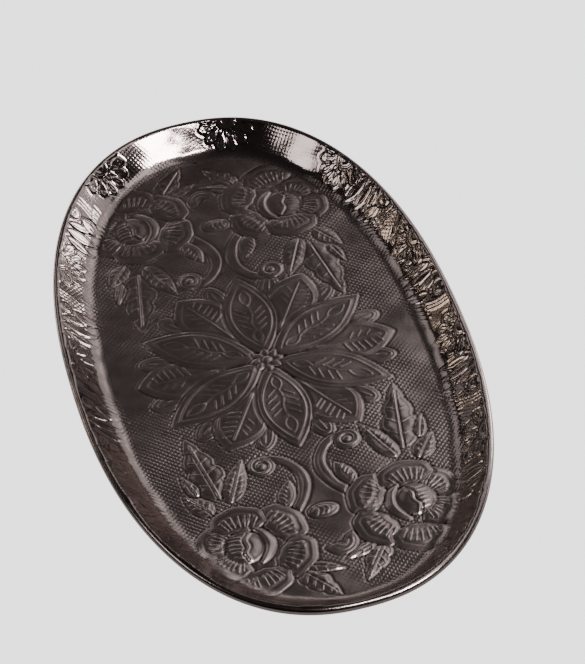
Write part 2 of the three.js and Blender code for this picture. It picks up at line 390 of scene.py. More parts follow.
# The rosette, with lengths from its middle: sepals, back petals over them, and front petals on top
PETAL_COUNT = 6
PETAL_HALF_WIDTH = 15.5

# A sepal, with an oval line inside it and a midrib
SEPAL_TIP = 75.0
SEPAL_HALF_LENGTH = 13.0
SEPAL_HALF_WIDTH = 6.8
SEPAL_FORM = Form(0.2, 3)
SEPAL_INNER_HALF_LENGTH = 10.0
SEPAL_INNER_HALF_WIDTH = 4.0
SEPAL_INNER_LINE = Line(0.17)
SEPAL_MIDRIB = (SEPAL_TIP - 16, SEPAL_TIP - 6)
SEPAL_MIDRIB_LINE = Line(0.24)


class VeinRow(NamedTuple):
    """Veins on one side of a back petal: where they begin and stop along it and their pitch, how far
    they lean towards the tip and reach out, how much less they reach for each millimetre past the
    widest place, and their line."""

    side: int
    begin: float
    stop: float
    pitch: float
    lean: float
    reach: float
    taper: float
    line: Line


# A back petal, with a line inside its edge, which is open at the root, a midrib and veins
BACK_ROOT = 22.0
BACK_TIP = 77.0
BACK_POWER = 1.45
BACK_FORM = Form(0.3, 2.6, 0.3)
BACK_INNER_SHORTER = 5.0
BACK_INNER_NARROWER = 2.6
BACK_INNER_LINE = Line(0.16)
BACK_MIDRIB = (BACK_ROOT + 8, BACK_TIP - 9)
BACK_MIDRIB_LINE = Line(0.26, 0.85)
BACK_WIDEST = 58.0
BACK_VEIN_GAP = 2.4
BACK_VEINS = (
    VeinRow(-1, BACK_TIP - 31, BACK_TIP - 11, 3.9, 2.4, 9.0, 0.4, Line(0.26)),
    VeinRow(1, BACK_TIP - 27, BACK_TIP - 13, 5.0, 3.0, 6.5, 0.3, Line(0.17)),
)

# A front petal, with a stem and with lenses inside it, each with its start, end, half width and line:
# the hollow along its edge, the line inside that, and the seed and the leaf at the ends of the stem
FRONT_ROOT = 4.0
FRONT_TIP = 76.0
FRONT_FORM = Form(0.32, 2.0)
FRONT_LINE = Line(0.2)
FRONT_LENSES = (
    (FRONT_ROOT + 2.5, FRONT_TIP - 3, PETAL_HALF_WIDTH - 2.2, Line(-0.14, 1.6)),
    (FRONT_ROOT + 7, FRONT_TIP - 7, PETAL_HALF_WIDTH - 3.8, FRONT_LINE),
    (15, 27, 2.8, FRONT_LINE),
    (49, 63, 3.2, FRONT_LINE),
)
FRONT_STEM = ([27, 0], [34, 1.2], [41, -1.0], [50, 0])

# Veins on both sides of the stem: the first and the pitch, the share of it by which one side is ahead,
# the gap to the stem, the lean towards the tip, and the reach, which is less away from the widest place
FRONT_VEINS = 4
FRONT_VEIN_START = 28.0
FRONT_VEIN_PITCH = 5.2
FRONT_VEIN_AHEAD = 0.3
FRONT_VEIN_GAP = 2.2
FRONT_VEIN_LEAN = 4.6
FRONT_VEIN_REACH = 8.2
FRONT_VEIN_TAPER = 0.011
FRONT_WIDEST = 36.0
FRONT_VEIN_LINE = Line(0.22)

# The heart of the rosette: small petals round a core
HEART_PETALS = 8
HEART_PETAL_ROOT = 1.0
HEART_PETAL_LENGTH = 9.0
HEART_PETAL_HALF_WIDTH = 2.6
HEART_PETAL_FORM = Form(0.3, 2, lift=0.15)
HEART_CORE_RADIUS = 3.0
HEART_CORE_FORM = Form(0.4, 2.5, lift=0.3)


def press_sepal(sheet, turn):
    place = Place(0, 0, turn)
    middle = [SEPAL_TIP - SEPAL_HALF_LENGTH, 0]
    sheet.emboss(place(oval(SEPAL_HALF_LENGTH, SEPAL_HALF_WIDTH) + middle), SEPAL_FORM)
    inner = oval(SEPAL_INNER_HALF_LENGTH, SEPAL_INNER_HALF_WIDTH) + middle
    sheet.stroke(place(closed(inner)), SEPAL_INNER_LINE)
    sheet.stroke(place(straight(SEPAL_MIDRIB)), SEPAL_MIDRIB_LINE)


def press_back_petal(sheet, turn):
    place = Place(0, 0, turn)
    root = [BACK_ROOT, 0]
    length = BACK_TIP - BACK_ROOT
    sheet.emboss(place(lens(length, PETAL_HALF_WIDTH, BACK_POWER) + root), BACK_FORM)
    inner = lens(length - BACK_INNER_SHORTER, PETAL_HALF_WIDTH - BACK_INNER_NARROWER, BACK_POWER)
    sheet.stroke(place(inner + root), BACK_INNER_LINE)
    sheet.stroke(place(straight(BACK_MIDRIB)), BACK_MIDRIB_LINE)
    for row in BACK_VEINS:
        spots = np.arange(row.begin, row.stop, row.pitch)
        reach = row.reach - row.taper * np.maximum(spots - BACK_WIDEST, 0)
        starts = [[u, row.side * BACK_VEIN_GAP] for u in spots]
        ends = [[u + row.lean, row.side * v] for u, v in zip(spots, reach)]
        sheet.hatch(place(starts), place(ends), row.line)


def press_front_petal(sheet, turn):
    place = Place(0, 0, turn)
    sheet.emboss(place(lens(FRONT_TIP - FRONT_ROOT, PETAL_HALF_WIDTH) + [FRONT_ROOT, 0]), FRONT_FORM)
    for start, end, half_width, line in FRONT_LENSES:
        sheet.stroke(place(closed(lens(end - start, half_width) + [start, 0])), line)
    sheet.stroke(place(curve(FRONT_STEM, count=14)), FRONT_LINE)
    for side, ahead in ((1, 0), (-1, FRONT_VEIN_AHEAD)):
        spots = FRONT_VEIN_START + FRONT_VEIN_PITCH * (np.arange(FRONT_VEINS) - ahead)
        reach = FRONT_VEIN_REACH - FRONT_VEIN_TAPER * (spots - FRONT_WIDEST) ** 2
        starts = [[u, side * FRONT_VEIN_GAP] for u in spots]
        ends = [[u + FRONT_VEIN_LEAN, side * v] for u, v in zip(spots, reach)]
        sheet.hatch(place(starts), place(ends), FRONT_VEIN_LINE)


def press_heart(sheet):
    petal = lens(HEART_PETAL_LENGTH, HEART_PETAL_HALF_WIDTH) + [HEART_PETAL_ROOT, 0]
    for turn in turns(HEART_PETALS):
        sheet.emboss(Place(0, 0, turn)(petal), HEART_PETAL_FORM)
    sheet.emboss(disc(HEART_CORE_RADIUS), HEART_CORE_FORM)


def press_rosette(sheet):
    pitch = math.pi / PETAL_COUNT
    for index in range(2 * PETAL_COUNT):
        press_sepal(sheet, (index + 0.5) * pitch)
    for index in range(PETAL_COUNT):
        press_back_petal(sheet, 2 * index * pitch)
    for index in range(PETAL_COUNT):
        press_front_petal(sheet, (2 * index + 1) * pitch)
    press_heart(sheet)


# Each quarter has a spray of a rose, leaves and a scroll, with x and y counted from the middle of the
# base. Each end has two curls, set as in one of the quarters beside it.
QUARTERS = (
    Quarter(1, 1, -5.5, -4.5),
    Quarter(1, -1, 0.0, -3.0),
    Quarter(-1, 1, 0.5, 0.5),
    Quarter(-1, -1, -2.6, 3.0),
)
ENDS = (Quarter(-1, 1), Quarter(1, -1))

# Outer petals of the rose: the way from the bud in degrees, the distance, and the half width
ROSE_PETALS = ((45, 16, 13), (-31, 17, 13), (-154, 28, 16), (150, 30, 16), (99, 29, 16), (-92, 21, 16))
ROSE_PETAL_HALF_DEPTH = 10.5
ROSE_PETAL_RUFFLES = 9
ROSE_PETAL_RUFFLE = 0.03
ROSE_PETAL_FORM = Form(0.9, 3.8, 0.3, edge=0.15, roll=0.42)

# Veins of a rose petal: the share of its half width that they spread over, their start, how far the
# middle one goes past the petal's middle, how fast those at the sides get shorter, and how they fan out
ROSE_VEINS = 7
ROSE_VEIN_SPREAD = 0.6
ROSE_VEIN_START = -5.5
ROSE_VEIN_END = 2.6
ROSE_VEIN_BEND = 1.6
ROSE_VEIN_FAN = 1.06
ROSE_VEIN_LINE = Line(0.25, 0.8)

# The fold round the bud, the bud with a ridge and a cut beside it, and the bud's veins
ROSE_FOLD = ([-6, -15], [-14, -9], [-17, 1], [-13, 10], [-6, 14], [-9, 4], [-9, -6])
ROSE_FOLD_FORM = Form(0.65, 3.5, 0.2, lift=0.4, edge=0.07)
BUD_SPOT = (50.4, 138.3)
BUD_HALF_DEPTH = 11.0
BUD_HALF_WIDTH = 11.8
BUD_FORM = Form(1.0, 7.0, lift=0.4, edge=0.07)
BUD_RIDGE = ([-5, -9.5], [-1.5, -4.5], [-1.8, 1], [0.4, 5.5], [-1.0, 10])
BUD_RIDGE_LINE = Line(0.36, 1.5)
BUD_CUT_AWAY = 1.8
BUD_CUT_LINE = Line(-0.36, 1.2)
BUD_VEINS = 6
BUD_VEIN_PITCH = 3.0
BUD_VEIN_START = 1.4
BUD_VEIN_END = 8.0
BUD_VEIN_TAPER = 0.22
BUD_VEIN_LEAN = 1.2
BUD_VEIN_LINE = Line(0.28, 0.85)

# Leaves of the spray: the root, the tip, the half width, the veins on each side and the saw teeth
SPRAY_LEAVES = (
    ([55, 98], [63.5, 45], 10.5, 4, 4),
    ([50, 103], [36, 71], 6.5, 5, 0),
    ([61, 108], [74, 90], 6.0, 4, 0),
    ([66, 92], [72, 74], 3.6, 3, 0),
    ([26, 164], [9, 188], 6.8, 4, 3),
    ([22, 162], [2, 170], 3.8, 3, 0),
)

# Any leaf: its height, which its steepness limits on a narrow leaf, and the shape of its body
LEAF_HEIGHT = 0.6
LEAF_STEEPNESS = 0.075
LEAF_POWER = 0.66
LEAF_SHOULDER_SHARE = 0.5
LEAF_DIP = 0.35

# The midrib of a leaf and the cut beside it: how far to the side they start and end, and their lines
LEAF_RIBS = ((-0.5, -0.3, Line(0.32, 0.95)), (0.9, 0.7, Line(-0.26, 0.95)))
LEAF_RIB_START = 1.0
LEAF_RIB_END_SHARE = 0.86

# Veins of a leaf: the shares of its length between which they start, their gap to the middle, the share
# of the half width that they reach, a little further along the leaf, and their lean towards the tip
LEAF_VEIN_SHARES = (0.2, 0.75)
LEAF_VEIN_GAP = 0.8
LEAF_VEIN_REACH = 0.72
LEAF_VEIN_FURTHER = 0.1
LEAF_VEIN_LEAN = 0.55
LEAF_VEIN_LINE = Line(0.22)

# The scroll between its outer and inner edge, the knot that it ends in, and the leaf inside it
SCROLL_OUTER = ([15, 122], [8, 112], [4, 101], [5, 90], [11, 80], [19, 74.5], [28, 73.5])
SCROLL_INNER = ([18, 116], [14, 110], [11, 101], [11, 92], [15, 84], [20, 80])
SCROLL_FORM = Form(0.3, 2, 0.9)
KNOT_SPOT = (27, 81)
KNOT_RADIUS = 7.8
KNOT_FORM = Form(0.3, 2.5, 0.6)
KNOT_SPIRAL_RADII = (6.6, 2.0)
KNOT_SPIRAL_SPAN = (-math.pi / 2, 3.1 * math.pi)
KNOT_LINE = Line(0.32, 0.95)
KNOT_EYE_RADIUS = 2.6
KNOT_EYE_FORM = Form(0.5, 2, lift=0.3)
SCROLL_LEAF_ROOT = (23, 119)
SCROLL_LEAF_TIP = (15, 96)
SCROLL_LEAF_HALF_WIDTH = 5.0
SCROLL_LEAF_FORM = Form(0.4, 3)
SCROLL_VEIN_START = 5.0
SCROLL_VEIN_END = 4.0
SCROLL_VEIN_PITCH = 3.2
SCROLL_VEIN_GAP = 0.4
SCROLL_VEIN_LEAN = 2.2
SCROLL_VEIN_REACH = 3.2
SCROLL_VEIN_LINE = Line(0.3)

# The curls at an end: a bean with lines across it, and a crescent with arcs on it
BEAN_SPOT = (0, 127)
BEAN_HALF_LENGTH = 8.0
BEAN_HALF_WIDTH = 6.0
BEAN_RUFFLES = 2
BEAN_RUFFLE = 0.08
BEAN_FORM = Form(0.7, 4, 0.2)
BEAN_LINE_SPOTS = (-4.5, -1.5, 1.5)
BEAN_LINE_COURSE = ([0, -3], [1.5, 0], [0, 3])
BEAN_LINE = Line(0.3)
CRESCENT_SPOT = (3, 153)
CRESCENT_TURN = math.radians(-25)
CRESCENT_RADIUS = 9.5
CRESCENT_SPAN = (math.radians(-10), math.radians(190))
CRESCENT_INNER = ([-5, -1.5], [0, 1.0], [5, -1.5])
CRESCENT_FORM = Form(0.3, 3, 0.3)
CRESCENT_ARC_RADII = (3.6, 6.4)
CRESCENT_ARC_SPAN = (math.radians(25), math.radians(155))
CRESCENT_ARC_LINE = Line(0.24, 0.95)


def press_rose_petal(sheet, bud, degrees, orbit, half_width):
    """A petal that is bent round the bud."""

    def bend(points):
        points = np.asarray(points, float)
        reach = orbit + points[:, 0]
        turn = math.radians(degrees) + points[:, 1] / orbit
        return bud(np.column_stack([reach * np.cos(turn), reach * np.sin(turn)]))

    edge = oval(ROSE_PETAL_HALF_DEPTH, half_width, ROSE_PETAL_RUFFLES, ROSE_PETAL_RUFFLE, count=90)
    sheet.emboss(bend(edge), ROSE_PETAL_FORM)
    sides = np.linspace(-ROSE_VEIN_SPREAD, ROSE_VEIN_SPREAD, ROSE_VEINS) * half_width
    starts = [[ROSE_VEIN_START, v] for v in sides]
    ends = [[ROSE_VEIN_END * math.cos(ROSE_VEIN_BEND * v / half_width), ROSE_VEIN_FAN * v] for v in sides]
    sheet.hatch(bend(starts), bend(ends), ROSE_VEIN_LINE)


def press_rose(sheet, quarter):
    place = Place(*BUD_SPOT, quarter=quarter)
    for degrees, orbit, half_width in ROSE_PETALS:
        press_rose_petal(sheet, place, degrees, orbit, half_width)
    sheet.emboss(place(curve(ROSE_FOLD, count=36)), ROSE_FOLD_FORM)
    sheet.emboss(place(oval(BUD_HALF_DEPTH, BUD_HALF_WIDTH)), BUD_FORM)
    ridge = curve(BUD_RIDGE, count=32)
    sheet.stroke(place(ridge), BUD_RIDGE_LINE)
    sheet.stroke(place(ridge + [BUD_CUT_AWAY, 0]), BUD_CUT_LINE)
    sides = BUD_VEIN_PITCH * (np.arange(BUD_VEINS) - (BUD_VEINS - 1) / 2)
    starts = [[BUD_VEIN_START, v] for v in sides]
    ends = [[BUD_VEIN_END - BUD_VEIN_TAPER * abs(v), v - BUD_VEIN_LEAN] for v in sides]
    sheet.hatch(place(starts), place(ends), BUD_VEIN_LINE)


def press_leaf(sheet, quarter, root, tip, half_width, veins, notches):
    place, length = between(root, tip, quarter)
    height = min(LEAF_HEIGHT, LEAF_STEEPNESS * half_width)
    form = Form(height, LEAF_SHOULDER_SHARE * half_width, LEAF_DIP)
    sheet.emboss(place(lens(length, half_width, LEAF_POWER, notches, steps=44)), form)
    for at_root, at_tip, line in LEAF_RIBS:
        sheet.stroke(place([[LEAF_RIB_START, at_root], [LEAF_RIB_END_SHARE * length, at_tip]]), line)
    for side in (1, -1):
        for share in np.linspace(*LEAF_VEIN_SHARES, veins):
            swell = math.sin(math.pi * min(share + LEAF_VEIN_FURTHER, 1) ** LEAF_POWER)
            reach = LEAF_VEIN_REACH * half_width * swell
            start = [share * length, side * LEAF_VEIN_GAP]
            end = [share * length + LEAF_VEIN_LEAN * reach, side * reach]
            sheet.stroke(place([start, end]), LEAF_VEIN_LINE)


def press_scroll(sheet, quarter):
    place = Place(0, 0, quarter=quarter)
    outer = curve(SCROLL_OUTER, count=40)
    inner = curve(SCROLL_INNER, count=30)
    sheet.emboss(place(np.vstack([outer, inner[::-1]])), SCROLL_FORM)
    knot = Place(*KNOT_SPOT, quarter=quarter)
    sheet.emboss(knot(disc(KNOT_RADIUS)), KNOT_FORM)
    sheet.stroke(knot(spiral(KNOT_SPIRAL_RADII, KNOT_SPIRAL_SPAN)), KNOT_LINE)
    sheet.emboss(knot(disc(KNOT_EYE_RADIUS)), KNOT_EYE_FORM)
    leaf, length = between(SCROLL_LEAF_ROOT, SCROLL_LEAF_TIP, quarter)
    sheet.emboss(leaf(lens(length, SCROLL_LEAF_HALF_WIDTH)), SCROLL_LEAF_FORM)
    spots = np.arange(SCROLL_VEIN_START, length - SCROLL_VEIN_END, SCROLL_VEIN_PITCH)
    starts = [[u, SCROLL_VEIN_GAP] for u in spots]
    ends = [[u + SCROLL_VEIN_LEAN, SCROLL_VEIN_REACH] for u in spots]
    sheet.hatch(leaf(starts), leaf(ends), SCROLL_VEIN_LINE)


def press_end(sheet, quarter):
    bean = Place(*BEAN_SPOT, quarter=quarter)
    sheet.emboss(bean(oval(BEAN_HALF_LENGTH, BEAN_HALF_WIDTH, BEAN_RUFFLES, BEAN_RUFFLE)), BEAN_FORM)
    for u in BEAN_LINE_SPOTS:
        sheet.stroke(bean(curve(BEAN_LINE_COURSE, count=8) + [u, 0]), BEAN_LINE)
    crescent = Place(*CRESCENT_SPOT, CRESCENT_TURN, quarter)
    outer = arc(CRESCENT_RADIUS, CRESCENT_SPAN, count=24)
    sheet.emboss(crescent(np.vstack([outer, CRESCENT_INNER])), CRESCENT_FORM)
    for radius in CRESCENT_ARC_RADII:
        sheet.stroke(crescent(arc(radius, CRESCENT_ARC_SPAN)), CRESCENT_ARC_LINE)


def press_spray(sheet, quarter):
    press_scroll(sheet, quarter)
    for leaf in SPRAY_LEAVES:
        press_leaf(sheet, quarter, *leaf)
    press_rose(sheet, quarter)


# The border on the wall, with places along the base's edge and up the slope. Daisies hang from the rim.
# After each come leaves, each from its root to its tip with a half width, then a curled bead and grass.
# At the tray's ends the ground between the daisies is plain.
DAISIES = 12
PLAIN_AFTER = (2, 3, 8, 9)
DAISY_START = 0.71
DAISY_RISE = SLANT + 1
DAISY_CORE = 6.8
DAISY_CORE_FORM = Form(0.1, 2, 0.3, edge=0.12)
DAISY_RING_RADIUS = 4.0
DAISY_RING_LINE = Line(0.14, 0.9)
DAISY_PETALS = 14
DAISY_PETAL_LENGTH = 12.5
DAISY_PETAL_HALF_WIDTH = 3.5
DAISY_PETAL_POWER = 1.7
DAISY_PETAL_ROOT = DAISY_CORE + 1
DAISY_CUT_START = DAISY_CORE + 2
DAISY_CUT_END = DAISY_CORE + 9
DAISY_CUT_SIDES = (-1.1, 1.1)
DAISY_CUT_LINE = Line(-0.15, 0.8)
BORDER_FORM = Form(0.08, 2.5, 0.2, edge=0.1)
BORDER_LEAVES = (
    ([24, 25], [18, 5], 3.4),
    ([30, 26], [27, 3], 3.8),
    ([36, 25], [37, 6], 3.2),
    ([45, 16], [36, 1], 4.2),
)
BORDER_LEAF_POWER = 0.9
BORDER_INNER_START = 2.0
BORDER_INNER_SHORTER = 5.0
BORDER_INNER_NARROWER = 1.7
BORDER_INNER_LINE = Line(0.1)
BEAD_SPOT = (46, 21)
BEAD_RADIUS = 4.2
BEAD_FORM = Form(0.12, 2.2, edge=0.12)
BEAD_SPIRAL_RADII = (BEAD_RADIUS - 1.4, 0.8)
BEAD_SPIRAL_SPAN = (0, 3.4 * math.pi)
BEAD_LINE = Line(0.14, 0.8)

# Blades of grass and the shoots that run down over the cove: the course of the first, the pitch and the
# line. The blades spread at their tips.
GRASS_BLADES = 3
GRASS_PITCH = 2.6
GRASS_COURSE = ([56, 25], [53, 16], [47, 8])
GRASS_SPREAD = (1.0, 1.0, 1.2)
GRASS_LINE = Line(0.2, 0.9)
SHOOTS = 6
SHOOT_PITCH = 3.8
SHOOT_COURSE = ([40, 8], [37, 3], [32, -2])
SHOOT_LINE = Line(0.2, 0.85)

# Steps round the oval in which its length is measured
MEASURE_STEPS = 20000


def wall_turns():
    """Angles of the rim's oval, and the length of the middle of the wall up to each of them."""
    fine = np.linspace(0, 2 * math.pi, MEASURE_STEPS + 1)
    x, y = base_edge(fine, SLANT / 2)
    run = np.concatenate([[0], np.cumsum(np.hypot(np.diff(x), np.diff(y)))])
    return fine, run


FINE_TURNS, FINE_RUN = wall_turns()


def wall_place(run):
    """A place on the base's edge, with its axes along the edge, by the clock, and up the wall."""
    turn = np.interp(run % FINE_RUN[-1], FINE_RUN, FINE_TURNS)
    x, y = base_edge(turn)
    _, _, out_x, out_y = rim_oval(turn)
    axes = np.array([[out_y, -out_x], [out_x, out_y]])

    def place(points):
        return np.asarray(points, float) @ axes + [x, y]

    return place


DAISY_PITCH = FINE_RUN[-1] / DAISIES
DAISY_PLACES = [wall_place((index + DAISY_START) * DAISY_PITCH) for index in range(DAISIES)]
LEAFY_PLACES = [place for index, place in enumerate(DAISY_PLACES) if index not in PLAIN_AFTER]


def press_daisy(sheet, place):
    shape = lens(DAISY_PETAL_LENGTH, DAISY_PETAL_HALF_WIDTH, DAISY_PETAL_POWER) + [DAISY_PETAL_ROOT, 0]
    for turn in turns(DAISY_PETALS):
        petal = Place(0, DAISY_RISE, turn)
        sheet.emboss(place(petal(shape)), BORDER_FORM)
        for v in DAISY_CUT_SIDES:
            sheet.stroke(place(petal([[DAISY_CUT_START, v / 2], [DAISY_CUT_END, v]])), DAISY_CUT_LINE)
    core = Place(0, DAISY_RISE)
    sheet.emboss(place(core(disc(DAISY_CORE))), DAISY_CORE_FORM)
    sheet.stroke(place(core(arc(DAISY_RING_RADIUS, (0, 2 * math.pi)))), DAISY_RING_LINE)


def press_shoots(sheet):
    """Lines of the border that run down over the cove onto the base."""
    for place in LEAFY_PLACES:
        for shoot in range(SHOOTS):
            course = np.add(SHOOT_COURSE, [SHOOT_PITCH * shoot, 0])
            sheet.stroke(place(curve(course, count=8)), SHOOT_LINE)


def press_foliage(sheet, place):
    for blade in range(GRASS_BLADES):
        course = np.add(GRASS_COURSE, np.outer(GRASS_SPREAD, [GRASS_PITCH * blade, 0]))
        sheet.stroke(place(curve(course, count=10)), GRASS_LINE)
    for root, tip, half_width in BORDER_LEAVES:
        leaf, length = between(root, tip)
        sheet.emboss(place(leaf(lens(length, half_width, BORDER_LEAF_POWER))), BORDER_FORM)
        inner = lens(length - BORDER_INNER_SHORTER, half_width - BORDER_INNER_NARROWER, BORDER_LEAF_POWER)
        sheet.stroke(place(leaf(closed(inner + [BORDER_INNER_START, 0]))), BORDER_INNER_LINE)
    bead = Place(*BEAD_SPOT)
    sheet.emboss(place(bead(disc(BEAD_RADIUS))), BEAD_FORM)
    sheet.stroke(place(bead(spiral(BEAD_SPIRAL_RADII, BEAD_SPIRAL_SPAN))), BEAD_LINE)


def press_border(sheet):
    for place in LEAFY_PLACES:
        press_foliage(sheet, place)
    for place in DAISY_PLACES:
        press_daisy(sheet, place)


# The relief of the whole sheet

def press_ground(sheet, share):
    """Dots in slanting rows, with a share of their full height."""
    one = (sheet.x + sheet.y) / math.sqrt(2)
    two = (sheet.x - sheet.y) / math.sqrt(2)
    one -= DOT_PITCH * np.round(one / DOT_PITCH)
    two -= DOT_PITCH * np.round(two / DOT_PITCH)
    across = sheet.x / WEAR_REACH
    along = sheet.y / WEAR_REACH
    columns = np.sin(across + WEAR_SWIRL[0] * np.sin(WEAR_STRETCH[0] * along))
    rows = np.sin(WEAR_STRETCH[1] * along + WEAR_SWIRL[1] * np.sin(across))
    left_over = np.clip(1 - DOT_WEAR * (1 + columns * rows), 0, 1)
    sheet.height += share * DOT_HEIGHT * left_over * bump(np.hypot(one, two) / DOT_RADIUS)


def wave(x, y):
    """The unevenness of the sheet, as waves that run various ways."""
    rise = np.zeros_like(x)
    for length in WAVE_LENGTHS:
        height = WAVE_STEEPNESS * length / WAVES_EACH
        for turn in rng.uniform(0, math.pi, WAVES_EACH):
            along = x * math.cos(turn) + y * math.sin(turn)
            start = rng.uniform(0, 2 * math.pi)
            rise += height * np.sin(2 * math.pi * along / length + start)
    return rise


def near_share(y):
    """How far points lie towards the near end."""
    return ramp(NEAR_FROM_Y, NEAR_TO_Y, y)


def worn_share(x, y):
    """How far points of the wall lie in its worn part."""
    return ramp(0, -WORN_WIDTH, x) * ramp(WORN_FROM_Y, WORN_TO_Y, y)


def press_base(sheet):
    press_ground(sheet, 1.0)
    press_shoots(sheet)
    press_rosette(sheet)
    for quarter in QUARTERS:
        press_spray(sheet, quarter)
    for quarter in ENDS:
        press_end(sheet, quarter)
    sheet.height *= 1 - FAR_WEAR * ramp(FAR_FROM_Y, FAR_TO_Y, sheet.y)


def press_wall(sheet):
    press_ground(sheet, DOT_WALL_SHARE + NEAR_DOT_SHARE * near_share(sheet.y))
    press_border(sheet)
    press_shoots(sheet)
    sheet.height *= 1 - BORDER_WEAR * worn_share(sheet.x, sheet.y)


def press_relief(base_x, base_y, wall_x, wall_y, near):
    """The height of the relief on the base's grid and on the rings of the wall and the curl."""
    x = np.concatenate([base_x.ravel(), wall_x.ravel()])
    y = np.concatenate([base_y.ravel(), wall_y.ravel()])
    sheet = Sheet(x, y)
    press_base(sheet)
    wall_sheet = Sheet(wall_x.ravel(), wall_y.ravel())
    press_wall(wall_sheet)
    rise = sheet.height
    on_wall = smooth(RING_SLANTS[:, None] / (EDGE_BLEND + NEAR_BLEND * near)).ravel()
    rise[base_x.size:] += on_wall * (wall_sheet.height - rise[base_x.size:])
    rise += wave(x, y)
    base_rise = rise[:base_x.size].reshape(base_x.shape)
    wall_rise = rise[base_x.size:].reshape(wall_x.shape)
    wall_rise *= smooth((CREST_SLANT - RING_SLANTS) / CREST_FADE)[:, None]
    return base_rise, wall_rise


def blurred(field, times, round_closed):
    """A field averaged with its neighbours a number of times. Rings close up along their rows."""
    for _ in range(times):
        wide = np.pad(field, ((1, 1), (0, 0)), mode="edge")
        field = (wide[:-2] + wide[1:-1] + wide[2:]) / 3
        wide = np.pad(field, ((0, 0), (1, 1)), mode="wrap" if round_closed else "edge")
        field = (wide[:, :-2] + wide[:, 1:-1] + wide[:, 2:]) / 3
    return field


def hollows(rise, round_closed):
    """How far points lie below what is round them."""
    return blurred(rise, WIDE_BLUR, round_closed) - blurred(rise, FINE_BLUR, round_closed)


def wall_painted_shade(wall_x, wall_y):
    """Painted shade on the rim's outer face and on the worn part of the wall, added as if they were
    hollows.
    """
    # Painted shade on the worn left near part of the wall, growing up the slope from the cove
    up_wall = smooth((RING_SLANTS - COVE_LENGTH / 2) / COVE_LENGTH)
    painted_shade = WALL_PAINTED_SHADE * up_wall[:, None] * worn_share(wall_x, wall_y)
    # Painted shade on the lower outer face of the rim, darkest towards the floor
    outer_share = ramp(RIM_SHADE_FROM, RIM_SHADE_TO, CURL_ANGLES)
    painted_shade[WALL_RINGS:] += RIM_PAINTED_SHADE * outer_share[:, None]
    return painted_shade


# The pan's mesh

def disc_grid(across, along):
    """A grid of points over the unit disc, as shares of the way out and turns."""
    u, v = np.meshgrid(np.linspace(-1, 1, across + 1), np.linspace(-1, 1, along + 1))
    x = u * np.sqrt(1 - v * v / 2)
    y = v * np.sqrt(1 - u * u / 2)
    return np.hypot(x, y), np.arctan2(y, x)


def border_of(grid):
    """The values round the edge of a grid, against the clock."""
    return np.concatenate([grid[0, :-1], grid[:-1, -1], grid[-1, :0:-1], grid[:0:-1, 0]])


def grid_faces(index):
    return np.stack([index[:-1, :-1], index[:-1, 1:], index[1:, 1:], index[1:, :-1]], -1).reshape(-1, 4)


def band_faces(lower, upper):
    return np.stack([lower, upper, np.roll(upper, -1), np.roll(lower, -1)], -1)


def bands_between(rings):
    return [band_faces(lower, upper) for lower, upper in zip(rings[:-1], rings[1:])]


def stitch_faces(lip, first):
    """Faces across the curl's lip, each from one step of the underside to the finer steps of the top."""
    lip = lip.tolist()
    first = first.tolist()
    faces = []
    for cell in range(len(first)):
        fine = [lip[(cell * COARSE + step) % len(lip)] for step in range(COARSE, -1, -1)]
        faces.append([first[cell], first[(cell + 1) % len(first)], *fine])
    return faces


def profile(slant):
    """Away from the rim's centre line, height and normal of the top face, along its slope."""
    angle = np.minimum(slant / COVE_RADIUS, WALL_ANGLE)
    past = np.maximum(slant - COVE_LENGTH, 0)
    away = -FLARE_RUN + COVE_RADIUS * np.sin(angle) + past * math.cos(WALL_ANGLE)
    height = SHEET + COVE_RADIUS * (1 - np.cos(angle)) + past * math.sin(WALL_ANGLE)
    return away, height, -np.sin(angle), np.cos(angle)


def ring_points(turn, away, height):
    """Points round the tray, by their way out from the rim's centre line and their height."""
    x, y, out_x, out_y = rim_oval(turn)
    return np.column_stack([x + away * out_x, y + away * out_y, np.broadcast_to(height, x.shape)])


def top_rings(turn, wall_rise):
    """The top of the wall and then the outside of the curl, from the base's edge to the lip."""
    for slant, rise in zip(WALL_SLANTS, wall_rise):
        away, height, lean, up = profile(slant)
        yield ring_points(turn, away + lean * rise, height + up * rise)
    for angle, rise in zip(CURL_ANGLES, wall_rise[WALL_RINGS:]):
        radius = CURL_OUTER_RADIUS + rise
        yield ring_points(turn, radius * math.cos(angle), WIRE_HEIGHT + radius * math.sin(angle))


def under_rings(turn):
    """The inside of the curl and then the underside of the wall, from the lip towards the base."""
    for step in range(CURL_RINGS // 2, -1, -1):
        angle = CURL_START - 2 * step / CURL_RINGS * CURL_SWEEP
        away = CURL_INNER_RADIUS * math.cos(angle)
        yield ring_points(turn, away, WIRE_HEIGHT + CURL_INNER_RADIUS * math.sin(angle))
    for slant in np.linspace(SLANT, 0, UNDER_RINGS + 1)[1:-1]:
        away, height, lean, up = profile(slant)
        yield ring_points(turn, away - SHEET * lean, height - SHEET * up)


class Points:
    """The points of a mesh, in the order in which they are added."""

    def __init__(self):
        self.lots = []
        self.total = 0

    def add(self, lot):
        """Adds points, and gives their indices."""
        first = self.total
        self.lots.append(lot)
        self.total += len(lot)
        return np.arange(first, self.total)

    def add_grid(self, x, y, z):
        lot = np.column_stack([x.ravel(), y.ravel(), z.ravel()])
        return self.add(lot).reshape(x.shape)


def new_object(name, points, faces):
    mesh = bpy.data.meshes.new(name)
    mesh.from_pydata(points, [], faces)
    mesh.polygons.foreach_set("use_smooth", np.ones(len(mesh.polygons), bool))
    thing = bpy.data.objects.new(name, mesh)
    bpy.context.scene.collection.objects.link(thing)
    return thing


